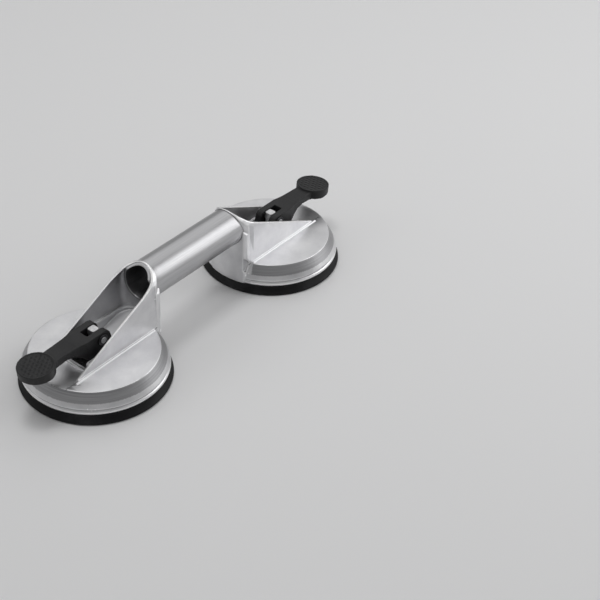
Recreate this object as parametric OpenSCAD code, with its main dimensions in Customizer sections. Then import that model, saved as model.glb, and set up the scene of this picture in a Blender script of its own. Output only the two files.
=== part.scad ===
// Two-cup suction lifter: two die-cast heads on a tube handle. Each head holds a rubber pad,
// whose centre is drawn up by a stud, a cross pin and a cam lever.
// Millimetres. X runs along the handle, Z is up, and the pads' sealing lips stand on Z = 0.
// Each head is drawn about its own centre with +X pointing away from the handle.

/* [Overall] */
// Distance between the centres of the two pads
head_spacing = 207; // [195:1:260]
// Height of the handle's axis above the sealing lips
tube_axis_z = 57.8; // [56:0.1:64]

/* [Handle tube] */
// Outside diameter of the handle tube
tube_d = 31; // [28:0.5:32]
// Wall thickness of the handle tube
tube_wall = 2; // [1.5:0.1:3]
// Distance from a head's centre to the lower part of the tube's open end
tube_end_x = 48.5; // [46:0.5:50]

/* [Head casting] */
// Outside diameter of the casting's rim
rim_d = 114; // [112:1:116]
// Height of the rim's lower edge
rim_z = 8; // [7.5:0.1:8.5]
// Radius of the rim's rounded bead
bead_r = 2; // [1.5:0.1:2]
// Diameter of the flat plateau
plateau_d = 100; // [98:1:102]
// Height of the plateau
plateau_z = 24.8; // [24:0.1:26]
// Diameter of the lower edge of the steep band below the plateau
band_d = 109; // [108:0.5:110]
// Height of the lower edge of the steep band
band_z = 17.2; // [16.5:0.1:18]
// Height of the ceiling of the hollow under the plateau
ceiling_z = 18; // [17.5:0.1:18.5]
// Outside width of the riser
riser_w = 36.4; // [36:0.1:37]
// Inside width of the riser above its ledge
riser_inner_w = 32.4; // [32:0.1:33]
// Distance from the centre to the low outer tips of the riser's walls
tip_x = 36; // [34:0.5:38]
// Angle of the slanted top of the riser's walls
cut_angle = 25.9; // [24:0.1:27]
// Radius of the riser's back corners, beside the tube
back_corner_r = 9; // [7:0.5:10]
// Radius of the upright posts at the riser's back corners
post_r = 3; // [2:0.5:4]
// Height of the ledge along the inside of the riser
ledge_z = 32; // [30:0.5:34]
// Width of the narrower well below the ledge
well_w = 28; // [27:0.5:29]
// Height of the flat floor under the lever
floor_z = 23.25; // [22.5:0.05:23.5]

/* [Stud and lever] */
// Height of the cross pin's axis with the lever down
pin_z = 38.5; // [38:0.1:39.5]
// Diameter of the cross pin
pin_d = 5; // [4:0.5:6]
// Length of the cross pin
pin_len = 22.6; // [22.4:0.1:26]
// Width across the flats of the stud's square head
stud_w = 6.8; // [6.4:0.1:7.2]
// Diameter of the stud's round shank
stud_d = 10.4; // [10.3:0.1:10.6]
// Height of the stud's top with the lever down
stud_top_z = 44.2; // [43.5:0.1:46]
// Drop of the stud when the lever is raised fully
stud_drop = 4.6; // [4:0.1:4.6]
// Angle through which the lever swings from down to raised
lever_swing = 95; // [90:1:100]
// Distance from the pin to the cam's face with the lever down
cam_r = 13.5; // [13:0.1:13.5]
// Distance from the pin to the centre of the thumb disc
lever_len = 57.5; // [54:0.5:62]
// Diameter of the thumb disc
thumb_d = 28; // [24:0.5:30]
// Outside width of the lever's fork
fork_w = 19; // [18:0.5:20]

/* [Rubber pad] */
// Diameter of the pad over its sealing lip
pad_d = 118; // [117:1:120]
// Height of the pad's flat centre with the lever down
centre_z = 5.4; // [5.4:0.1:6]
// Diameter of the flat centre and of the steel plate behind it
plate_d = 64; // [60:1:66]
// Thickness of the steel plate
plate_t = 2.5; // [2:0.1:2.5]

/* [Hidden] */
LEFT = -1;
RIGHT = 1;

// Number of facets where a round face is shown
fn_large = 144;
fn_small = 48;
eps = 0.01;
far = 200;

// Head casting
rim_r = rim_d / 2;
plateau_r = plateau_d / 2;
band_r = band_d / 2;
bead_x = rim_r - bead_r;
groove_z = rim_z + 2 * bead_r + 0.4;
skirt_r = rim_r - 3.7;
shell_t = 3.4;
boss_r = 12;
boss_z = 16;
tube_bore_r = tube_d / 2 + 0.1;
arch_rise = tube_bore_r + 1.2;
inner_rise = tube_bore_r - 0.3;
riser_front_x = tip_x + 1;
riser_back_r = rim_r + 0.05;
post_front_x = -48.8;
post_inner_y = 12;
post_shoulder_z = 55.5;
post_top_z = 58.5;
valley_x = -43;
valley_z = 33;
valley_depth = 1.2;
pocket_depth = 1.8;
pocket_outline = [[-rim_r - 3, 35.2], [-55.9, 34.7], [-48.5, 27], [-52.2, 18.5], [-rim_r - 3, 20.6]];
back_wall_x = 51;
back_fillet_r = 7;
cut_bend_r = 38;
cut_bend_x = -42;
cut_end_angle = 57;
well_end_r = well_w / 2;
well_end_x = -36;
floor_back_z = 31;
floor_front_x = -20;
lip_x = 22;
dish_x = 20;
dish_r = 28;
dish_low_r = 4;
dish_low_z = 20.9;

// Stud, bush and plates; everything on the stud is drawn with the lever down
bush_flange_t = 1.2;
bush_flange_r = 9.4;
bush_r = 7;
slide_gap = 0.05;
fit_gap = 0.3;
rubber_t = 4.1;
plate_z = centre_z + rubber_t;
collar_z = plate_z + plate_t;
collar_t = 3;
collar_r = 9;
square_z = 24.2;
stud_chamfer = 1;
wear_t = 1.5;
wear_x0 = -18;
wear_x1 = 20.5;
wear_w = 22;

// Centre screw
screw_head_r = 4.5;
screw_head_t = 3;
screw_r = 3;
screw_top_z = 22;
socket_af = 5;
socket_depth = 2;

// Lever
fork_slot_w = stud_w + 1;
fork_slot_x = 10;
cam_rate = stud_drop / (lever_swing * PI / 180);
fork_top = 6;
thumb_r = thumb_d / 2;
thumb_top = 6.5;
thumb_tilt = 4.6;
thumb_t = 8;
neck_w = 14.5;
clip_t = 0.8;
clip_r = 4.5;
clip_gap = 0.3;

// Rubber pad
pad_r = pad_d / 2;
plate_r = plate_d / 2;
lip_flat_r0 = pad_r - 3.5;
lip_flat_r1 = pad_r - 1;

// Points of an arc about c from angle a0 to a1
function arc(c, r, a0, a1, n = 12) =
    [for (i = [0:n]) let (a = a0 + (a1 - a0) * i / n) c + r * [cos(a), sin(a)]];

// Puts a head's part in its place; the left head is turned half round
module place(side) {
    translate([side * head_spacing / 2, 0, 0]) rotate([0, 0, side == RIGHT ? 0 : 180]) children();
}

// Extrudes an outline drawn in X and Z over a width centred on Y = 0
module across(width) {
    rotate([90, 0, 0]) linear_extrude(height = width, center = true) children();
}

// Extrudes an outline drawn in Y and Z along X, from x0 to x1
module along(x0, x1) {
    translate([x0, 0, 0]) rotate([90, 0, 90]) linear_extrude(height = x1 - x0) children();
}

// The tube, trimmed flush with the slanted tops of the two risers
module handle_tube() {
    length = head_spacing - 2 * tube_end_x;
    color("silver") difference() {
        translate([0, 0, tube_axis_z]) rotate([0, 90, 0]) difference() {
            cylinder(r = tube_d / 2, h = length, center = true, $fn = fn_large);
            cylinder(r = tube_d / 2 - tube_wall, h = length + 1, center = true, $fn = fn_large);
        }
        for (side = [LEFT, RIGHT]) place(side) across(far) above_cut();
    }
}

// Outside of the round body: bead, groove, ring, steep band and plateau
module disc_profile() {
    ring_r = rim_r - 0.6;
    translate([bead_x, rim_z + bead_r]) circle(r = bead_r, $fn = fn_small);
    polygon([[0, rim_z], [bead_x, rim_z], [bead_x, groove_z - 0.4], [ring_r - 0.9, groove_z - 0.4],
             [ring_r - 0.9, groove_z], [ring_r, groove_z + 0.5], [ring_r - 0.2, groove_z + 1.4],
             [band_r, band_z], [plateau_r, plateau_z], [0, plateau_z]]);
}

// Hollow under the plateau, with a boss for the guide bush left standing
module hollow_profile() {
    polygon([[boss_r, -1], [skirt_r, -1], [skirt_r, groove_z - 0.6], [band_r - shell_t - 0.6, band_z - 0.5],
             [plateau_r - 1, ceiling_z], [boss_r, ceiling_z]]);
    square([boss_r + eps, boss_z]);
}

// Centre of a back corner of radius r, on the side of positive Y
function back_corner(r, half) =
    [-sqrt(pow(riser_back_r - r, 2) - pow(half - r, 2)), half - r];

// Plan of the riser: straight sides, rounded corners and a back flush with the rim
module riser_plan() {
    half = riser_w / 2 + eps;
    corner = back_corner(back_corner_r, half);
    turn = atan2(corner[1], -corner[0]);
    polygon(concat([[riser_front_x, half]],
                   arc(corner, back_corner_r, 90, 180 - turn, 8),
                   arc([0, 0], riser_back_r, 180 - turn * 0.9, 180 + turn * 0.9, 8),
                   arc([corner[0], -corner[1]], back_corner_r, 180 + turn, 270, 8),
                   [[riser_front_x, -half]]));
}

// Cross-section of a tunnel: upright sides and a low arch that springs at the tube's axis
module tunnel(half, rise, z0) {
    polygon(concat([[half, z0]],
                   [for (a = [0:5:180]) [half * cos(a), tube_axis_z + rise * sin(a)]],
                   [[-half, z0]]));
}

// Upright post that squares off one back corner of the riser
module corner_post() {
    half = riser_w / 2 + 2 * eps;
    corner = back_corner(post_r, half);
    turn = atan2(corner[1], -corner[0]);
    back_x = -sqrt(pow(riser_back_r, 2) - pow(post_inner_y, 2));
    low = rim_z + 3 * eps;
    intersection() {
        linear_extrude(height = far) polygon(concat(
            [[post_front_x, post_inner_y], [post_front_x, half]],
            arc(corner, post_r, 90, 180 - turn, 8), [[back_x, post_inner_y]]));
        along(-far / 2, 0) polygon([[0, low], [half + 1, low], [half + 1, post_shoulder_z],
                                    [half, post_shoulder_z], [half - 2, post_top_z], [0, post_top_z]]);
    }
}

// Shallow valley beside a post, which dies out downwards
module corner_valley() {
    half = riser_w / 2 + 0.1;
    intersection() {
        linear_extrude(height = far)
            polygon([[post_front_x, half + 1], [post_front_x, half - valley_depth], [valley_x, half],
                     [valley_x, half + 1]]);
        along(-far / 2, 0) polygon([[half, valley_z], [half + 1, valley_z], [half + 1, far],
                                    [half - valley_depth, far], [half - valley_depth, post_shoulder_z]]);
    }
}

// Three-sided pocket across a back corner
module corner_pocket() {
    translate([0, riser_w / 2 - pocket_depth / 2 + 1, 0]) across(pocket_depth + 2) polygon(pocket_outline);
}

// Everything above the riser's top: a straight slant that bends up round the tube
module above_cut() {
    bend_z = plateau_z + (tip_x - cut_bend_x) * tan(cut_angle);
    centre = [cut_bend_x, bend_z] + cut_bend_r * [sin(cut_angle), cos(cut_angle)];
    end_x = centre[0] - cut_bend_r * sin(cut_end_angle);
    polygon(concat([[tip_x + 2, plateau_z - 2 * tan(cut_angle)]],
                   arc(centre, cut_bend_r, 270 - cut_angle, 270 - cut_end_angle),
                   [[end_x, far], [tip_x + 2, far]]));
}

// Space inside the riser: a tunnel above the ledge, and a narrower well down to the floor
module riser_space() {
    half = riser_inner_w / 2;
    corner_y = half - back_fillet_r;
    intersection() {
        along(-back_wall_x, far) tunnel(half, inner_rise, ledge_z);
        linear_extrude(height = far) union() {
            translate([-back_wall_x + back_fillet_r, -half]) square([far, riser_inner_w]);
            translate([-back_wall_x, -corner_y]) square([far, 2 * corner_y]);
            for (s = [-1, 1]) translate([-back_wall_x + back_fillet_r, s * corner_y])
                circle(r = back_fillet_r, $fn = fn_small);
        }
    }
    intersection() {
        linear_extrude(height = far) union() {
            translate([well_end_x, 0]) circle(r = well_end_r, $fn = fn_large);
            translate([well_end_x, -well_end_r]) square([lip_x - well_end_x, well_w]);
        }
        across(well_w + 2) polygon([[-back_wall_x, ledge_z + 1], [-back_wall_x, floor_back_z],
                                    [floor_front_x, floor_z], [lip_x, floor_z], [lip_x, ledge_z + 1]]);
    }
    translate([lip_x - eps, -half, floor_z]) cube([tip_x - lip_x, riser_inner_w, far]);
}

// Shallow dish between and beyond the tips of the riser's walls
module dish() {
    intersection() {
        translate([dish_x, 0, dish_low_z]) {
            cylinder(r1 = dish_low_r, r2 = dish_r, h = plateau_z - dish_low_z, $fn = fn_large);
            translate([0, 0, plateau_z - dish_low_z - eps]) cylinder(r = dish_r, h = far, $fn = fn_large);
        }
        union() {
            translate([lip_x, -riser_inner_w / 2, 0]) cube([tip_x - lip_x + eps, riser_inner_w, far]);
            translate([tip_x, -far / 2, 0]) cube([far, far, far]);
        }
    }
}

module head(side) {
    color("gainsboro") place(side) difference() {
        union() {
            rotate_extrude($fn = fn_large) disc_profile();
            difference() {
                union() {
                    intersection() {
                        linear_extrude(height = far) riser_plan();
                        along(-far / 2, far / 2) tunnel(riser_w / 2, arch_rise, rim_z + 2 * eps);
                    }
                    corner_post();
                    mirror([0, 1, 0]) corner_post();
                }
                across(far) above_cut();
                corner_pocket();
                mirror([0, 1, 0]) corner_pocket();
                corner_valley();
                mirror([0, 1, 0]) corner_valley();
            }
        }
        difference() {
            riser_space();
            translate([-far / 2, -far / 2, -far]) cube([far, far, far + floor_z - 0.02]);
        }
        dish();
        rotate_extrude($fn = fn_large) hollow_profile();
        along(-far / 2, -tube_end_x) translate([0, tube_axis_z]) circle(r = tube_bore_r, $fn = fn_large);
        cylinder(r = bush_r, h = far, $fn = fn_small);
        translate([0, 0, boss_z - eps]) cylinder(r = bush_flange_r, h = bush_flange_t + eps, $fn = fn_small);
    }
}

module guide_bush(side) {
    color("ivory") place(side) difference() {
        union() {
            translate([0, 0, boss_z]) cylinder(r = bush_flange_r, h = bush_flange_t, $fn = fn_small);
            translate([0, 0, boss_z]) cylinder(r = bush_r, h = floor_z - boss_z, $fn = fn_small);
        }
        cylinder(r = stud_d / 2 + slide_gap, h = far, $fn = fn_small);
    }
}

module wear_plate(side) {
    color("lightsteelblue") place(side) translate([0, 0, floor_z]) difference() {
        translate([wear_x0, -wear_w / 2, 0]) cube([wear_x1 - wear_x0, wear_w, wear_t]);
        translate([0, 0, -1]) cylinder(r = stud_d / 2 + fit_gap, h = wear_t + 2, $fn = fn_small);
    }
}

// Half-section of the pad: flat centre, dished web, sealing lip and a ring that locates in the skirt
module pad_profile() {
    hole_r = screw_head_r + 0.3;
    ring_r = skirt_r - 0.3;
    polygon([[hole_r, centre_z - 0.6], [hole_r + 2, centre_z - 0.6], [hole_r + 2.4, centre_z],
             [plate_r, centre_z], [lip_flat_r0 - 1.5, 0.6], [lip_flat_r0, 0], [lip_flat_r1, 0],
             [pad_r, 0.7], [pad_r, 1.9], [pad_r - 1.2, 3], [rim_r - 1.4, 6], [rim_r - 1.2, rim_z],
             [ring_r, rim_z], [ring_r, rim_z + 2.5], [ring_r - 3, rim_z + 2.5], [ring_r - 5, 6.4],
             [plate_r + 12, 5.8], [plate_r + 3, 8], [plate_r + 0.5, plate_z], [screw_r + 0.3, plate_z],
             [screw_r + 0.3, centre_z + screw_head_t], [hole_r, centre_z + screw_head_t]]);
}

module rubber_pad(side) {
    color("dimgray") place(side) rotate_extrude($fn = fn_large) pad_profile();
}

module backing_plate(side) {
    color("slategray") place(side) translate([0, 0, plate_z]) difference() {
        cylinder(r = plate_r, h = plate_t, $fn = fn_large);
        translate([0, 0, -1]) cylinder(r = screw_r + 0.2, h = plate_t + 2, $fn = fn_small);
    }
}

// One end, t = -1 or 1, of the flat that faces the angle a on the stud's square head
function stud_corner(a, t) =
    let (u = stud_w / 2, v = t * (u - stud_chamfer))
    [u * cos(a) - v * sin(a), u * sin(a) + v * cos(a)];

module pull_stud(side) {
    color("whitesmoke") place(side) difference() {
        union() {
            translate([0, 0, collar_z]) cylinder(r = collar_r, h = collar_t, $fn = fn_small);
            translate([0, 0, collar_z]) cylinder(r = stud_d / 2, h = square_z - collar_z, $fn = fn_small);
            translate([0, 0, square_z - 1]) linear_extrude(height = stud_top_z - square_z + 1)
                polygon([for (a = [0:90:270]) for (t = [-1, 1]) stud_corner(a, t)]);
        }
        translate([0, 0, collar_z - 1])
            cylinder(r = screw_r, h = screw_top_z - collar_z + 1.5, $fn = fn_small);
        translate([0, 0, pin_z]) rotate([90, 0, 0])
            cylinder(r = pin_d / 2, h = far, center = true, $fn = fn_small);
    }
}

module centre_screw(side) {
    color("darkslategray") place(side) difference() {
        union() {
            translate([0, 0, centre_z]) cylinder(r = screw_head_r, h = screw_head_t, $fn = fn_small);
            translate([0, 0, centre_z]) cylinder(r = screw_r, h = screw_top_z - centre_z, $fn = fn_small);
        }
        translate([0, 0, centre_z - 1]) cylinder(d = socket_af / cos(30), h = socket_depth + 1, $fn = 6);
    }
}

module pivot_pin(side) {
    color("silver") place(side) translate([0, 0, pin_z]) rotate([90, 0, 0])
        cylinder(r = pin_d / 2, h = pin_len, center = true, $fn = fn_small);
}

// Two spring clips, one outside each cheek of the fork
module pin_clips(side) {
    color("gray") place(side) for (s = [-1, 1])
        translate([0, s * (fork_w / 2 + clip_gap + clip_t / 2), pin_z]) rotate([90, 0, 0]) difference() {
            cylinder(r = clip_r, h = clip_t, center = true, $fn = fn_small);
            cylinder(r = pin_d / 2, h = clip_t + 1, center = true, $fn = fn_small);
        }
}

// Cam face about the pin: its distance falls evenly as the lever is raised, so the stud drops evenly
function cam_point(a) =
    let (h = cam_r - cam_rate * a * PI / 180)
    h * [-sin(a), -cos(a)] + cam_rate * [cos(a), -sin(a)];

// Side outline of a cheek: cam face, rounded nose, top, and the belly towards the arm
module cheek_outline() {
    polygon(concat([for (a = [0:5:lever_swing + 5]) cam_point(a)],
                   [[-7.6, 3.2], [-5.6, 5.2], [-3, fork_top]],
                   [[24, fork_top], [31, 1.5], [25, -2.5], [19, -7.2]],
                   [[14.5, -11], [10.5, -13.1], [9, -cam_r]]));
}

// Side outline of the arm, from inside the fork to under the thumb disc
module arm_outline() {
    polygon([[12, fork_top], [12, -6], [22, -2], [34, 0.2], [46, -1.2], [52, -1.6], [52, 5.2], [44, 5.8]]);
}

// Plan of the lever: fork, shoulders that narrow to the neck
module lever_plan() {
    half = fork_w / 2;
    polygon([[-20, -half], [16, -half], [22, -half + 1.2], [30, -neck_w / 2 - 0.6], [43, -neck_w / 2],
             [56, -neck_w / 2 - 2], [56, neck_w / 2 + 2], [43, neck_w / 2], [30, neck_w / 2 + 0.6],
             [22, half - 1.2], [16, half], [-20, half]]);
}

module thumb_disc() {
    translate([lever_len, 0, thumb_top]) rotate([0, thumb_tilt, 0]) difference() {
        translate([0, 0, -thumb_t]) cylinder(r = thumb_r, h = thumb_t, $fn = fn_large);
        translate([0, 0, -0.6]) cylinder(r = thumb_r - 1.2, h = 2, $fn = fn_large);
        across(2 * far) polygon([[-4, -thumb_t - 1], [thumb_r + 1, -thumb_t - 1],
                                 [thumb_r + 1, -6], [-4, -thumb_t]]);
    }
}

module lever(side) {
    color("#2b2b2c") place(side) translate([0, 0, pin_z]) difference() {
        union() {
            intersection() {
                translate([0, 0, -50]) linear_extrude(height = 100) lever_plan();
                union() {
                    across(fork_w) cheek_outline();
                    across(fork_w) arm_outline();
                }
            }
            thumb_disc();
        }
        translate([-50, -fork_slot_w / 2, -50]) cube([50 + fork_slot_x, fork_slot_w, 100]);
        rotate([90, 0, 0]) cylinder(r = pin_d / 2 + slide_gap, h = far, center = true, $fn = fn_small);
    }
}

handle_tube();
head(LEFT);  // left_head
guide_bush(LEFT);  // left_guide_bush
wear_plate(LEFT);  // left_wear_plate
rubber_pad(LEFT);  // left_rubber_pad
backing_plate(LEFT);  // left_backing_plate
pull_stud(LEFT);  // left_pull_stud
centre_screw(LEFT);  // left_centre_screw
pivot_pin(LEFT);  // left_pivot_pin
pin_clips(LEFT);  // left_pin_clips
lever(LEFT);  // left_lever
head(RIGHT);  // right_head
guide_bush(RIGHT);  // right_guide_bush
wear_plate(RIGHT);  // right_wear_plate
rubber_pad(RIGHT);  // right_rubber_pad
backing_plate(RIGHT);  // right_backing_plate
pull_stud(RIGHT);  // right_pull_stud
centre_screw(RIGHT);  // right_centre_screw
pivot_pin(RIGHT);  // right_pivot_pin
pin_clips(RIGHT);  // right_pin_clips
lever(RIGHT);  // right_lever
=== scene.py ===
import math

import bmesh
import bpy
from mathutils import Matrix, Vector


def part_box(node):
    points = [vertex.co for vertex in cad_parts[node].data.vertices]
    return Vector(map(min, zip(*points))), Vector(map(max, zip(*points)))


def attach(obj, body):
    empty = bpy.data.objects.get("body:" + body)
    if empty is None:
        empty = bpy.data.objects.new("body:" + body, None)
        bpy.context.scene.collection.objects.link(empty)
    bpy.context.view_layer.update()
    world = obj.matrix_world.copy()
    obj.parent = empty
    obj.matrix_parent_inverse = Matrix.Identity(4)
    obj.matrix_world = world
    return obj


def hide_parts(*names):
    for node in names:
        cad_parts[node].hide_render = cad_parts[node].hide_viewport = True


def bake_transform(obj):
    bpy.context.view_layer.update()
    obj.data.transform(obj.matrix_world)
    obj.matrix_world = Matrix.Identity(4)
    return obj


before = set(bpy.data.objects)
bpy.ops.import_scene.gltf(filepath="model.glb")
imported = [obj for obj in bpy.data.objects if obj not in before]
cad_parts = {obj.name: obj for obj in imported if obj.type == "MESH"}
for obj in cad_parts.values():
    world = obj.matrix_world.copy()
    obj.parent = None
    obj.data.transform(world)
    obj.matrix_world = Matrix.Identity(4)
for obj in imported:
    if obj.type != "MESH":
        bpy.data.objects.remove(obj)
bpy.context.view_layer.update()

MM = 0.001
SIDES = ("left", "right")

# Camera, in metres in the frame of the CAD model
CAMERA_AT = Vector((-0.6380, -0.5944, 0.6826))
CAMERA_AIM = Vector((0.0491, -0.0762, 0.0208))
CAMERA_ROLL = math.radians(2.55)
LENS_MM = 81.6
SENSOR_MM = 36

# Driving sizes read from the frame
TUBE_LOW, TUBE_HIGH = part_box("handle_tube")
TUBE_RADIUS = (TUBE_HIGH.y - TUBE_LOW.y) / 2
TUBE_AXIS_Z = (TUBE_HIGH.z + TUBE_LOW.z) / 2
PAD_LOW, PAD_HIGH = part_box("right_rubber_pad")
PAD_RADIUS = (PAD_HIGH.y - PAD_LOW.y) / 2
PLATE_LOW, PLATE_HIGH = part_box("right_backing_plate")
PLATE_RADIUS = (PLATE_HIGH.y - PLATE_LOW.y) / 2
HEAD_LOW, HEAD_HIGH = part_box("right_head")
RIM_Z = HEAD_LOW.z
RIM_RADIUS = (HEAD_HIGH.y - HEAD_LOW.y) / 2

# Handle tube
TUBE_WALL = 2 * MM
TUBE_CHAMFER = 0.4 * MM
TUBE_END_RINGS = (12 * MM, 14 * MM)
TUBE_TRIM_REACH = 1 * MM

# Head, in metres from the middle of its pad. Its own +X points away from the handle.
BAND_LOW_Z, BAND_HIGH_Z = 17.0 * MM, 24.7 * MM
BAND_INNER, BAND_OUTER = 50.1 * MM, 55.2 * MM
BAND_END = math.radians(23.5)
EXPORT_FACES = 190000
PLATEAU_Z = 24.8 * MM
GROOVE_Z = 12.3 * MM
BEAD_Y = 19.2 * MM
BEAD_WIDTH = 1.7 * MM
BEAD_FRONT = 37.5 * MM
BEAD_BACK = 45 * MM
BEAD_LOW_X = 51.2 * MM
BEAD_LOW_Z = 17 * MM
BEAD_SINK = 1.2 * MM
FOOT_GROOVE_Y = BEAD_Y - 1.05 * MM
RIM_BEAD_Z = RIM_Z + 2.2 * MM
POST_X, POST_Y, POST_LOW_Z = 49.3 * MM, 15.8 * MM, 33 * MM
# Strength of the painted highlight on the posts at the back of the risers
POST_HIGHLIGHT = 0.25
ARCH_TAPER_X = 50 * MM
ARCH_BACK_X = 56.5 * MM
ARCH_TAPER_FOOT = 3 * MM
ARCH_TAPER_SHARE = 0.55
ARCH_SKIN = 0.15 * MM
WALL_INNER_Y = 15.9 * MM
TIP_X = 36 * MM
LEDGE_Z = 32 * MM
WELL_RADIUS, WELL_END_X = 14 * MM, -36 * MM
CUT_ANGLE = math.radians(25.9)
CUT_BEND_RADIUS = 38 * MM
CUT_BEND_X = -42 * MM
CUT_BEND_Z = PLATEAU_Z + (TIP_X - CUT_BEND_X) * math.tan(CUT_ANGLE)
CUT_CENTRE_X = CUT_BEND_X + CUT_BEND_RADIUS * math.sin(CUT_ANGLE)
CUT_CENTRE_Z = CUT_BEND_Z + CUT_BEND_RADIUS * math.cos(CUT_ANGLE)

# Rubber pad
WEB_RADIUS = PAD_RADIUS - 9 * MM
WEB_EDGE_Z = 1.5 * MM
WEB_SLIT = 0.02 * MM
WEB_CURVE = 1.15
WEB_TOP_Z = 6.4 * MM
SEAT_INNER = RIM_RADIUS - 4 * MM
SEAT_TOP_Z = 10.4 * MM
CENTRE_Z = 5.4 * MM
RECESS_Z = CENTRE_Z - 0.6 * MM
SCREW_RADIUS = 4.5 * MM
RECESS_RADIUS = SCREW_RADIUS + 0.3 * MM
SHANK_RADIUS = 3.5 * MM
MIDDLE_TOP_Z = 8.45 * MM
PLATE_GAP_Z = PLATE_LOW.z - 0.05 * MM
PLATE_HOLE = 3.2 * MM

# Thumb disc of the lever
THUMB_RADIUS = 14 * MM
THUMB_TILT = math.radians(4.6)
DIMPLE_PITCH = 3.6 * MM
DIMPLE_RADIUS = 1.35 * MM
DIMPLE_DEPTH = 0.45 * MM
DIMPLE_FIELD = THUMB_RADIUS - 2.2 * MM


def head_centre(side):
    """The middle of a head's pad, on the floor."""
    low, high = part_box(side + "_rubber_pad")
    return Vector(((low.x + high.x) / 2, (low.y + high.y) / 2, 0))


def outward(side):
    """1 where a head's own +X axis is the frame's, and -1 where the head is turned half round."""
    return 1 if side == "right" else -1


def cut_x(height):
    """Where the ground top of a riser is at a height, along the head's own +X axis."""
    if height <= CUT_BEND_Z:
        return TIP_X - (height - PLATEAU_Z) / math.tan(CUT_ANGLE)
    return CUT_CENTRE_X - math.sqrt(CUT_BEND_RADIUS ** 2 - (CUT_CENTRE_Z - height) ** 2)


# ---------------------------------------------------------------- materials

# Most of a noise's values lie in these spans
NOISE_SPAN = (0.3, 0.7)
NARROW_SPAN = (0.35, 0.65)


def new_material(name, colour, metallic, roughness):
    """A material with a Principled shader, and its node tree."""
    material = bpy.data.materials.new(name)
    material.use_nodes = True
    tree = material.node_tree
    shader = tree.nodes["Principled BSDF"]
    shader.inputs["Base Color"].default_value = (*colour, 1)
    shader.inputs["Metallic"].default_value = metallic
    shader.inputs["Roughness"].default_value = roughness
    return material, tree, shader


def place_on(tree, stretch=(1, 1, 1)):
    """Coordinates fixed to the piece, in metres, scaled by stretch."""
    coordinates = tree.nodes.new("ShaderNodeTexCoord")
    mapping = tree.nodes.new("ShaderNodeMapping")
    mapping.inputs["Scale"].default_value = stretch
    tree.links.new(coordinates.outputs["Object"], mapping.inputs["Vector"])
    return mapping.outputs["Vector"]


def noise(tree, scale, detail=4, stretch=(1, 1, 1), rough=0.55):
    """Noise with features of about 1 / scale metres."""
    node = tree.nodes.new("ShaderNodeTexNoise")
    node.inputs["Scale"].default_value = scale
    node.inputs["Detail"].default_value = detail
    node.inputs["Roughness"].default_value = rough
    tree.links.new(place_on(tree, stretch), node.inputs["Vector"])
    return node.outputs["Fac"]


def remap(tree, value, low, high, out_low=0.0, out_high=1.0):
    """Value from low..high to out_low..out_high, clamped."""
    node = tree.nodes.new("ShaderNodeMapRange")
    node.inputs["From Min"].default_value = low
    node.inputs["From Max"].default_value = high
    node.inputs["To Min"].default_value = out_low
    node.inputs["To Max"].default_value = out_high
    tree.links.new(value, node.inputs["Value"])
    return node.outputs["Result"]


def mix_colours(tree, amount, first, second):
    """A colour between first and second, each a colour or an output."""
    node = tree.nodes.new("ShaderNodeMix")
    node.data_type = "RGBA"
    for socket, value in ((node.inputs[6], first), (node.inputs[7], second)):
        if isinstance(value, bpy.types.NodeSocket):
            tree.links.new(value, socket)
        else:
            socket.default_value = (*value, 1)
    tree.links.new(amount, node.inputs[0])
    return node.outputs[2]


def math_node(tree, operation, first, second):
    """A Math node; each operand is a number or an output."""
    node = tree.nodes.new("ShaderNodeMath")
    node.operation = operation
    for socket, value in zip(node.inputs, (first, second)):
        if isinstance(value, bpy.types.NodeSocket):
            tree.links.new(value, socket)
        else:
            socket.default_value = value
    return node.outputs[0]


def add_bump(tree, shader, heights, strength=1.0):
    """A chain of bumps; heights are (output, height in metres)."""
    previous = None
    for output, distance in heights:
        node = tree.nodes.new("ShaderNodeBump")
        node.inputs["Strength"].default_value = strength
        node.inputs["Distance"].default_value = distance
        tree.links.new(output, node.inputs["Height"])
        if previous is not None:
            tree.links.new(previous, node.inputs["Normal"])
        previous = node.outputs["Normal"]
    tree.links.new(previous, shader.inputs["Normal"])


def mask(tree, name):
    """A value stored on the mesh's points."""
    node = tree.nodes.new("ShaderNodeAttribute")
    node.attribute_name = name
    return node.outputs["Fac"]


def edge_sharpness(tree, low, high):
    """Rises from 0 to 1 where the surface is a sharp outer edge."""
    node = tree.nodes.new("ShaderNodeNewGeometry")
    return remap(tree, node.outputs["Pointiness"], low, high)


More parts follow.
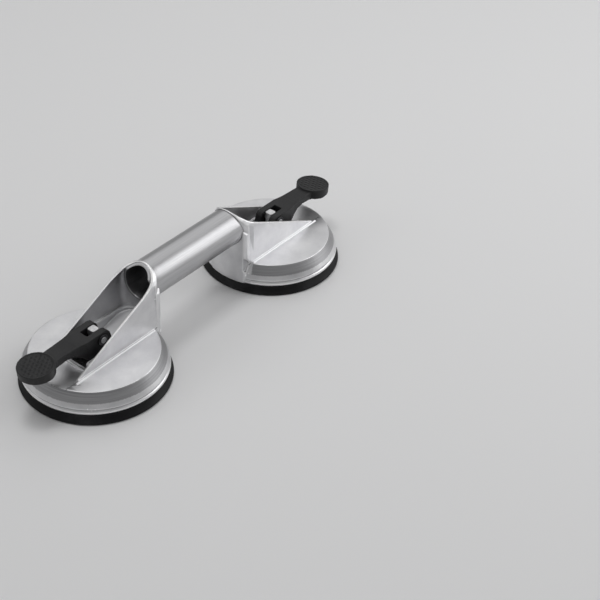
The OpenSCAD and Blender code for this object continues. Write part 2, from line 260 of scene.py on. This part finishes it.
def cast_aluminium():
    """Die-cast aluminium with a turned band round each head, whose colour is painted dark for the dark
    surroundings it reflects; highlights are painted on its sharp edges, rim bead, posts, ground tops and
    ledge edge, and shade is painted into its hollows and grooves.
    """
    material, tree, shader = new_material("cast_aluminium", (0.8, 0.8, 0.81), 1.0, 0.42)
    clouds = noise(tree, 45, 5)
    grain = noise(tree, 1400, 3)
    pits = noise(tree, 420, 5)
    turned = mask(tree, "turned")
    streaks = noise(tree, 900, 4, (0.02, 0.02, 2.2))
    skin = mix_colours(tree, remap(tree, clouds, *NARROW_SPAN), (0.62, 0.62, 0.635), (0.77, 0.77, 0.78))
    # Painted reflection: the turned band's colour is painted dark to stand in for the dark surroundings it
    # reflects.
    band_painted_dark = mix_colours(tree, remap(tree, streaks, *NOISE_SPAN), (0.30, 0.30, 0.31), (0.46, 0.46, 0.47))
    tone = mix_colours(tree, turned, skin, band_painted_dark)
    # Painted highlight: the rim bead, posts, ground tops and ledge edge are painted near white.
    tone = mix_colours(tree, mask(tree, "painted_highlight"), tone, (0.97, 0.97, 0.97))
    not_turned = math_node(tree, "SUBTRACT", 1.0, turned)
    # Painted highlight: sharp outer edges outside the turned band are painted near white, standing in for
    # the light they catch.
    edge_highlight = math_node(tree, "MULTIPLY", edge_sharpness(tree, 0.51, 0.55), not_turned)
    tone = mix_colours(tree, edge_highlight, tone, (0.98, 0.98, 0.985))
    # Painted shade: hollows, the feet of the walls and the groove round the rim are painted dark.
    hollow = math_node(tree, "SUBTRACT", 1.0, edge_sharpness(tree, 0.41, 0.475))
    painted_shade = math_node(tree, "MAXIMUM", hollow, mask(tree, "groove"))
    tree.links.new(mix_colours(tree, painted_shade, tone, (0.16, 0.16, 0.165)), shader.inputs["Base Color"])
    tree.links.new(remap(tree, clouds, *NOISE_SPAN, 0.36, 0.48), shader.inputs["Roughness"])
    lines = math_node(tree, "MULTIPLY", streaks, turned)
    heights = [(grain, 0.04 * MM), (pits, 0.06 * MM), (clouds, 0.2 * MM), (lines, 0.06 * MM)]
    add_bump(tree, shader, heights, 0.6)
    return material


def drawn_aluminium():
    """Satin drawn tube, with faint lines along it."""
    material, tree, shader = new_material("drawn_aluminium", (0.66, 0.66, 0.67), 1.0, 0.34)
    lines = noise(tree, 1100, 3, (0.02, 1, 1))
    grain = noise(tree, 1600, 2)
    tone = mix_colours(tree, remap(tree, lines, *NOISE_SPAN), (0.43, 0.43, 0.44), (0.50, 0.50, 0.51))
    tree.links.new(tone, shader.inputs["Base Color"])
    tree.links.new(remap(tree, grain, *NOISE_SPAN, 0.30, 0.40), shader.inputs["Roughness"])
    add_bump(tree, shader, [(lines, 0.02 * MM), (grain, 0.02 * MM)], 0.6)
    return material


def plated_steel(name, colour, roughness):
    """Bright plated steel with fine scratches."""
    material, tree, shader = new_material(name, colour, 1.0, roughness)
    scratches = noise(tree, 900, 3, (0.15, 1, 1))
    spots = noise(tree, 350, 4)
    darker = tuple(0.75 * c for c in colour)
    tree.links.new(mix_colours(tree, remap(tree, spots, *NARROW_SPAN), darker, colour),
                   shader.inputs["Base Color"])
    tree.links.new(remap(tree, scratches, *NOISE_SPAN, roughness * 0.8, roughness * 1.4),
                   shader.inputs["Roughness"])
    add_bump(tree, shader, [(scratches, 0.02 * MM)], 0.5)
    return material


def moulded_plastic(name, dark, light, roughness):
    """Moulded plastic with a fine spark-eroded texture."""
    material, tree, shader = new_material(name, dark, 0.0, roughness)
    shader.inputs["Specular IOR Level"].default_value = 0.32
    clouds = noise(tree, 60, 3)
    texture = noise(tree, 1500, 2)
    tone = mix_colours(tree, remap(tree, clouds, *NOISE_SPAN), dark, light)
    tree.links.new(tone, shader.inputs["Base Color"])
    tree.links.new(remap(tree, texture, *NOISE_SPAN, roughness - 0.06, roughness + 0.08),
                   shader.inputs["Roughness"])
    add_bump(tree, shader, [(texture, 0.05 * MM)], 0.5)
    return material


def rubber():
    """Black moulded rubber with cloudy smudges left by handling."""
    clean, smudged = (0.010, 0.010, 0.011), (0.036, 0.036, 0.038)
    material, tree, shader = new_material("black_rubber", clean, 0.0, 0.5)
    shader.inputs["Specular IOR Level"].default_value = 0.15
    smudges = noise(tree, 32, 6, rough=0.62)
    dust = noise(tree, 900, 3)
    speckle = remap(tree, dust, *NOISE_SPAN, 0.6, 1.0)
    amount = math_node(tree, "MULTIPLY", remap(tree, smudges, 0.52, 0.72), speckle)
    tree.links.new(mix_colours(tree, amount, clean, smudged), shader.inputs["Base Color"])
    tree.links.new(remap(tree, smudges, 0.45, 0.7, 0.42, 0.62), shader.inputs["Roughness"])
    add_bump(tree, shader, [(dust, 0.03 * MM), (smudges, 0.3 * MM)], 0.4)
    return material


CAST = cast_aluminium()
DRAWN = drawn_aluminium()
ZINC = plated_steel("zinc_steel", (0.80, 0.80, 0.81), 0.46)
PLATE = plated_steel("plated_steel", (0.62, 0.62, 0.63), 0.32)
BLACK_STEEL = plated_steel("black_steel", (0.12, 0.12, 0.125), 0.34)
LEVER = moulded_plastic("black_plastic", (0.012, 0.012, 0.013), (0.021, 0.021, 0.022), 0.46)
BUSH = moulded_plastic("bush_plastic", (0.62, 0.61, 0.58), (0.70, 0.69, 0.66), 0.45)
RUBBER = rubber()


# ---------------------------------------------------------------- pieces

def new_piece(name, mesh, material, body, replaced=()):
    """Links a mesh as a piece that rides on a body and stands for the CAD nodes it replaces."""
    piece = bpy.data.objects.new(name, mesh)
    bpy.context.scene.collection.objects.link(piece)
    mesh.materials.clear()
    mesh.materials.append(material)
    mesh.shade_smooth()
    if replaced:
        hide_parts(*replaced)
    if body:
        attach(piece, body)
    return piece


def softened(node, voxel, rounds, most_faces=0, extra=None):
    """The CAD node's shape as a mesh whose sharp edges have the small radius of a cast or moulded part."""
    shape = bmesh.new()
    shape.from_mesh(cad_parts[node].data)
    if extra:
        shape.from_mesh(extra)
    joined = bpy.data.meshes.new(node + "_joined")
    shape.to_mesh(joined)
    shape.free()
    work = bpy.data.objects.new(node + "_work", joined)
    bpy.context.scene.collection.objects.link(work)
    weld = work.modifiers.new("weld", "WELD")
    weld.merge_threshold = 0.01 * MM
    remesh = work.modifiers.new("remesh", "REMESH")
    remesh.mode = "VOXEL"
    remesh.voxel_size = voxel
    remesh.adaptivity = 0
    smooth = work.modifiers.new("smooth", "SMOOTH")
    smooth.factor = 0.5
    smooth.iterations = rounds
    if most_faces:
        count = len(work.evaluated_get(bpy.context.evaluated_depsgraph_get()).data.polygons)
        thin = work.modifiers.new("thin", "DECIMATE")
        thin.ratio = min(1.0, most_faces / (2 * count))
    evaluated = work.evaluated_get(bpy.context.evaluated_depsgraph_get())
    mesh = bpy.data.meshes.new_from_object(evaluated)
    bpy.data.objects.remove(work)
    return mesh


def lathe(profile, segments, centre=Vector((0, 0, 0)), axis="Z"):
    """Turns a closed outline of (radius, height) points about an axis through centre."""
    shape = bmesh.new()
    rings = []
    for i in range(segments):
        angle = 2 * math.pi * i / segments
        c, s = math.cos(angle), math.sin(angle)
        if axis == "Z":
            rings.append([shape.verts.new(centre + Vector((r * c, r * s, h))) for r, h in profile])
        else:
            rings.append([shape.verts.new(centre + Vector((h, r * c, r * s))) for r, h in profile])
    count = len(profile)
    for i, ring in enumerate(rings):
        after = rings[(i + 1) % segments]
        for j in range(count):
            k = (j + 1) % count
            shape.faces.new((ring[j], after[j], after[k], ring[k]))
    bmesh.ops.recalc_face_normals(shape, faces=shape.faces)
    mesh = bpy.data.meshes.new("lathe")
    shape.to_mesh(mesh)
    shape.free()
    return mesh


def rounded(points, radius, steps=4):
    """A closed outline with each corner replaced by a short curve of about the given radius."""
    result = []
    count = len(points)
    for i in range(count):
        corner = Vector(points[i])
        before = Vector(points[i - 1]) - corner
        after = Vector(points[(i + 1) % count]) - corner
        reach = min(radius, 0.45 * before.length, 0.45 * after.length)
        start = corner + before.normalized() * reach
        end = corner + after.normalized() * reach
        for k in range(steps + 1):
            t = k / steps
            point = start * (1 - t) ** 2 + corner * 2 * t * (1 - t) + end * t * t
            result.append((point.x, point.y))
    return result


def make_tube():
    """The drawn handle tube: small chamfers, and its ends trimmed flush with the risers' ground tops."""
    inner, outer = TUBE_RADIUS - TUBE_WALL, TUBE_RADIUS
    stations = [TUBE_LOW.x] + [TUBE_LOW.x + ring for ring in TUBE_END_RINGS]
    stations += [TUBE_HIGH.x - ring for ring in reversed(TUBE_END_RINGS)] + [TUBE_HIGH.x]
    outline = [(outer, x) for x in stations] + [(inner, x) for x in reversed(stations)]
    mesh = lathe(rounded(outline, TUBE_CHAMFER, 3), 160, Vector((0, 0, TUBE_AXIS_Z)), "X")
    square_x = TUBE_HIGH.x - head_centre("right").x
    for vertex in mesh.vertices:
        beyond = square_x - cut_x(vertex.co.z)
        if abs(vertex.co.x) > TUBE_HIGH.x - TUBE_TRIM_REACH and beyond > 0:
            vertex.co.x -= math.copysign(beyond, vertex.co.x)
    new_piece("drawn_tube", mesh, DRAWN, "root", ["handle_tube"])


def add_strip(shape, outline, start, end):
    """A bar between two points, whose closed outline is given sideways and upwards from them."""
    along = (end - start).normalized()
    sideways = along.cross(Vector((0, 0, 1))).normalized()
    up = sideways.cross(along)
    rings = [[shape.verts.new(point + sideways * u + up * v) for u, v in outline]
             for point in (start, end)]
    count = len(outline)
    for i in range(count):
        k = (i + 1) % count
        shape.faces.new((rings[0][i], rings[0][k], rings[1][k], rings[1][i]))
    shape.faces.new(rings[0])
    shape.faces.new(rings[1])


def foot_beads(centre, way):
    """Beads along the feet of the riser's walls, which turn down the band at the back."""
    shape = bmesh.new()
    half_round = [(BEAD_WIDTH / 2 * math.cos(a), BEAD_WIDTH / 2 * math.sin(a))
                  for a in (math.pi * i / 8 for i in range(9))]
    outline = [(BEAD_WIDTH / 2, -BEAD_SINK)] + half_round + [(-BEAD_WIDTH / 2, -BEAD_SINK)]
    for y in (-BEAD_Y, BEAD_Y):
        corner = centre + Vector((-way * BEAD_BACK, y, PLATEAU_Z))
        add_strip(shape, outline, centre + Vector((way * BEAD_FRONT, y, PLATEAU_Z)), corner)
        add_strip(shape, outline, corner, centre + Vector((-way * BEAD_LOW_X, y, BEAD_LOW_Z)))
    bmesh.ops.recalc_face_normals(shape, faces=shape.faces)
    mesh = bpy.data.meshes.new("beads")
    shape.to_mesh(mesh)
    shape.free()
    return mesh


def near(value, middle, reach):
    """1 at the middle, falling to 0 at reach from it."""
    return max(0.0, 1 - abs(value - middle) / reach)


def ledge(offset, way):
    """1 along the edge of the ledge inside the riser, where it drops to the well."""
    along = offset.x * way - WELL_END_X
    from_middle = abs(offset.y) if along > 0 else math.hypot(along, offset.y)
    on_rim = near(from_middle, WELL_RADIUS + 0.3 * MM, 0.9 * MM)
    return on_rim * near(offset.z, LEDGE_Z - 0.2 * MM, 1 * MM)


def cut_face(offset, normal, way):
    """1 on the ground top of the riser's walls and arch."""
    if offset.z < PLATEAU_Z + 1 * MM or normal.z < 0.3 or offset.x * way > TIP_X:
        return 0.0
    if abs(offset.y) < WALL_INNER_Y and offset.z < TUBE_AXIS_Z:
        return 0.0
    return min(1.0, 2.5 * near(offset.x * way, cut_x(offset.z), 1.2 * MM))


def mark_head(mesh, centre, way):
    """Stores where the casting is turned, where painted shade darkens its grooves, and where painted
    highlights brighten its rim bead, posts, ground tops and ledge edge.
    """
    values = {"turned": [], "groove": [], "painted_highlight": []}
    for vertex in mesh.vertices:
        offset = vertex.co - centre
        radius = math.hypot(offset.x, offset.y)
        behind = abs(math.atan2(offset.y, -offset.x * way)) < BAND_END
        on_band = BAND_LOW_Z < offset.z < BAND_HIGH_Z and BAND_INNER < radius < BAND_OUTER
        round_part = radius > BAND_INNER and not behind
        # The feet of the walls and the groove round the rim get painted shade.
        foot = near(abs(offset.y), FOOT_GROOVE_Y, 0.5 * MM) * near(offset.z, PLATEAU_Z, 0.8 * MM)
        ring = near(offset.z, GROOVE_Z, 0.45 * MM) if round_part else 0.0
        values["turned"].append(1.0 if on_band and not behind else 0.0)
        values["groove"].append(max(foot, ring))
        # The rim bead, the posts, the ground tops and the ledge edge get painted highlights.
        bead = near(offset.z, RIM_BEAD_Z, 1.6 * MM) if round_part else 0.0
        on_post = -offset.x * way > POST_X and abs(offset.y) > POST_Y and offset.z > POST_LOW_Z
        post = POST_HIGHLIGHT if on_post else 0.0
        ground = max(cut_face(offset, vertex.normal, way), min(1.0, 2 * ledge(offset, way)))
        values["painted_highlight"].append(max(bead, post, ground))
    for name, stored in values.items():
        mesh.attributes.new(name, "FLOAT", "POINT").data.foreach_set("value", stored)


def taper_arch(mesh, centre, way):
    """Thins the arch down to the tube behind it, so that the two meet without a step."""
    for vertex in mesh.vertices:
        offset = vertex.co - centre
        height = offset.z - TUBE_AXIS_Z
        reach = math.hypot(offset.y, height)
        behind = -offset.x * way - ARCH_TAPER_X
        if height > -ARCH_TAPER_FOOT and reach > TUBE_RADIUS and behind > 0:
            back = min(1.0, behind / (ARCH_BACK_X - ARCH_TAPER_X))
            strength = back * min(1.0, (height + ARCH_TAPER_FOOT) / (2 * ARCH_TAPER_FOOT))
            skin = TUBE_RADIUS + ARCH_SKIN
            kept = skin + (reach - skin) * (1 - ARCH_TAPER_SHARE * strength)
            vertex.co.y = centre.y + offset.y * kept / reach
            vertex.co.z = TUBE_AXIS_Z + height * kept / reach


def make_heads():
    """The die-cast heads: one is shaped, and the other is the same casting turned half round."""
    first = SIDES[0]
    centre = head_centre(first)
    way = outward(first)
    mesh = softened(first + "_head", 0.4 * MM, 2, EXPORT_FACES, foot_beads(centre, way))
    taper_arch(mesh, centre, way)
    mark_head(mesh, centre, way)
    turned = mesh.copy()
    turned.transform(Matrix.Rotation(math.pi, 4, "Z"))
    for side, shape in ((first, mesh), (SIDES[1], turned)):
        new_piece(side + "_head_casting", shape, CAST, "root", [side + "_head"])


def dimple_depth(along, across):
    """Depth of the grip pattern at a point of the thumb disc: round dimples on a three-way lattice."""
    if math.hypot(along, across) > DIMPLE_FIELD:
        return 0.0
    row_height = DIMPLE_PITCH * math.sqrt(0.75)
    row = round(along / row_height)
    nearest = DIMPLE_PITCH
    for near_row in (row - 1, row, row + 1):
        shift = DIMPLE_PITCH / 2 if near_row % 2 else 0.0
        column = round((across - shift) / DIMPLE_PITCH)
        distance = math.hypot(along - near_row * row_height, across - shift - column * DIMPLE_PITCH)
        nearest = min(nearest, distance)
    return DIMPLE_DEPTH * max(0.0, 1 - (nearest / DIMPLE_RADIUS) ** 2)


def press_dimples(mesh, side):
    """Presses the grip pattern into the thumb disc's top."""
    low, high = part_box(side + "_lever")
    way = outward(side)
    middle_x = (high.x if way > 0 else low.x) - way * THUMB_RADIUS
    normal = Vector((way * math.sin(THUMB_TILT), 0, math.cos(THUMB_TILT)))
    for vertex in mesh.vertices:
        along = vertex.co.x - middle_x
        if abs(along) < DIMPLE_FIELD and vertex.normal.dot(normal) > 0.8 and vertex.co.z > high.z - 4 * MM:
            vertex.co -= normal * dimple_depth(along, vertex.co.y)


def make_lever(side):
    """The moulded lever with rounded edges and its grip pattern."""
    lever = side + "_lever"
    mesh = softened(lever, 0.35 * MM, 4)
    press_dimples(mesh, side)
    new_piece(lever + "_moulding", mesh, LEVER, lever, [lever])


def lip_outline():
    """The lip in section: from the web's edge, round the flat sealing ring, up to its seat in the rim."""
    return [(WEB_RADIUS, WEB_TOP_Z), (WEB_RADIUS, WEB_EDGE_Z), (PAD_RADIUS - 4 * MM, 0.15 * MM),
            (PAD_RADIUS - 3.4 * MM, 0), (PAD_RADIUS - 1 * MM, 0), (PAD_RADIUS, 0.7 * MM),
            (PAD_RADIUS, 1.9 * MM), (PAD_RADIUS - 1.2 * MM, 3 * MM), (RIM_RADIUS - 1.4 * MM, 6 * MM),
            (RIM_RADIUS - 1.2 * MM, RIM_Z), (SEAT_INNER, RIM_Z), (SEAT_INNER, SEAT_TOP_Z),
            (RIM_RADIUS - 7 * MM, SEAT_TOP_Z)]


def middle_outline():
    """The middle in section: a flat ring round the screw's recess, and a web that curves down to the lip."""
    edge = WEB_RADIUS - WEB_SLIT
    recess = [(RECESS_RADIUS, RECESS_Z), (SCREW_RADIUS + 2 * MM, RECESS_Z),
              (SCREW_RADIUS + 2.6 * MM, CENTRE_Z), (PLATE_RADIUS, CENTRE_Z)]
    web = [(PLATE_RADIUS + t * (edge - PLATE_RADIUS), CENTRE_Z - t ** WEB_CURVE * (CENTRE_Z - WEB_EDGE_Z))
           for t in (step / 10 for step in range(1, 11))]
    top = [(edge, WEB_TOP_Z), (edge - 4 * MM, 6.9 * MM), (PLATE_RADIUS + 4 * MM, 7.6 * MM),
           (PLATE_RADIUS + 0.5 * MM, PLATE_GAP_Z), (SHANK_RADIUS, PLATE_GAP_Z),
           (SHANK_RADIUS, MIDDLE_TOP_Z), (RECESS_RADIUS, MIDDLE_TOP_Z)]
    return recess + web + top


def make_pad(side):
    """The rubber pad: a lip that stays with the head, and a middle, which the stud draws up on the real
    handle but which rides on no body here.
    """
    centre = head_centre(side)
    lip = lathe(rounded(lip_outline(), 0.5 * MM, 3), 192, centre)
    new_piece(side + "_pad_lip", lip, RUBBER, "root", [side + "_rubber_pad"])
    middle = lathe(rounded(middle_outline(), 0.3 * MM, 2), 192, centre)
    web = new_piece(side + "_pad_middle", middle, RUBBER, None)
    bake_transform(web)


def make_backing_plate(side):
    """The pressed steel disc behind the middle of the pad."""
    outline = [(PLATE_HOLE, PLATE_LOW.z), (PLATE_RADIUS, PLATE_LOW.z),
               (PLATE_RADIUS, PLATE_HIGH.z), (PLATE_HOLE, PLATE_HIGH.z)]
    mesh = lathe(rounded(outline, 0.4 * MM, 3), 128, head_centre(side))
    node = side + "_backing_plate"
    new_piece(side + "_plate_pressing", mesh, PLATE, side + "_stud", [node])


# CAD node, name of its piece, material, slot, body, voxel in millimetres, smoothing rounds
SMALL_PARTS = (
    ("guide_bush", "bush_moulding", BUSH, "bush_plastic", "root", 0.25, 3),
    ("wear_plate", "wear_pressing", PLATE, "plated_steel", "root", 0.25, 3),
    ("pull_stud", "stud_turning", ZINC, "zinc_steel", "stud", 0.25, 6),
    ("centre_screw", "screw_turning", BLACK_STEEL, "black_steel", "stud", 0.2, 3),
    ("pivot_pin", "pin_turning", ZINC, "zinc_steel", "stud", 0.2, 5),
    ("pin_clips", "clip_pressings", BLACK_STEEL, "black_steel", "stud", 0.12, 3),
)


def make_small_parts(side):
    """The turned and pressed parts, with broken edges."""
    for node, name, material, slot, body, voxel, rounds in SMALL_PARTS:
        mesh = softened(side + "_" + node, voxel * MM, rounds)
        rider = body if body == "root" else side + "_" + body
        new_piece(side + "_" + name, mesh, material, rider, [side + "_" + node])


make_heads()
for side in SIDES:
    make_lever(side)
    make_pad(side)
    make_backing_plate(side)
    make_small_parts(side)
make_tube()


# ---------------------------------------------------------------- floor, light and camera

FLOOR_SIZE = 8
FLOOR_DROP = 0.02 * MM
WORLD_GREY, WORLD_STRENGTH = 0.5, 0.65

# Name, place, the point it faces, width and height, and power of each soft box, in metres and watts
SOFT_BOXES = (
    ("back_box", (0.85, 0.55, 1.10), (0, 0, 0), (1.4, 1.1), 3.1),
    ("right_box", (1.11, -0.87, 0.78), (0, 0, 0.03), (0.95, 1.3), 8.2),
    ("top_box", (-0.05, 0.25, 1.6), (0, 0, 0.03), (0.4, 0.4), 4.0),
    ("left_box", (-0.8, 1.0, 0.9), (0, 0, 0.03), (0.9, 0.7), 1.5),
)


def make_floor():
    """A plain pale floor."""
    bpy.ops.mesh.primitive_plane_add(size=FLOOR_SIZE, location=(0, 0, -FLOOR_DROP))
    floor = bpy.context.object
    floor.name = "floor"
    floor.data.materials.append(new_material("pale_floor", (0.82, 0.82, 0.825), 0.0, 0.6)[0])


def soft_box(name, at, aim, size, power):
    """A soft rectangular light at a point, turned to another."""
    light = bpy.data.lights.new(name, "AREA")
    light.shape = "RECTANGLE"
    light.size, light.size_y = size
    light.energy = power
    lamp = bpy.data.objects.new(name, light)
    lamp.location = at
    lamp.rotation_euler = (Vector(aim) - Vector(at)).to_track_quat("-Z", "Y").to_euler()
    bpy.context.scene.collection.objects.link(lamp)


def make_lights():
    """The soft boxes round the object, and an even grey light from everywhere."""
    for box in SOFT_BOXES:
        soft_box(*box)
    world = bpy.data.worlds.new("studio")
    world.use_nodes = True
    background = world.node_tree.nodes["Background"]
    background.inputs["Color"].default_value = (WORLD_GREY, WORLD_GREY, WORLD_GREY, 1)
    background.inputs["Strength"].default_value = WORLD_STRENGTH
    bpy.context.scene.world = world


def make_camera():
    """The camera, turned to its aim point and rolled."""
    data = bpy.data.cameras.new("camera")
    data.lens = LENS_MM
    data.sensor_width = SENSOR_MM
    data.clip_end = 20
    camera = bpy.data.objects.new("camera", data)
    turn = (CAMERA_AIM - CAMERA_AT).to_track_quat("-Z", "Y").to_matrix().to_4x4()
    camera.matrix_world = Matrix.Translation(CAMERA_AT) @ turn @ Matrix.Rotation(CAMERA_ROLL, 4, "Z")
    bpy.context.scene.collection.objects.link(camera)
    bpy.context.scene.camera = camera


make_floor()
make_lights()
make_camera()
bpy.context.scene.view_settings.view_transform = "Standard"
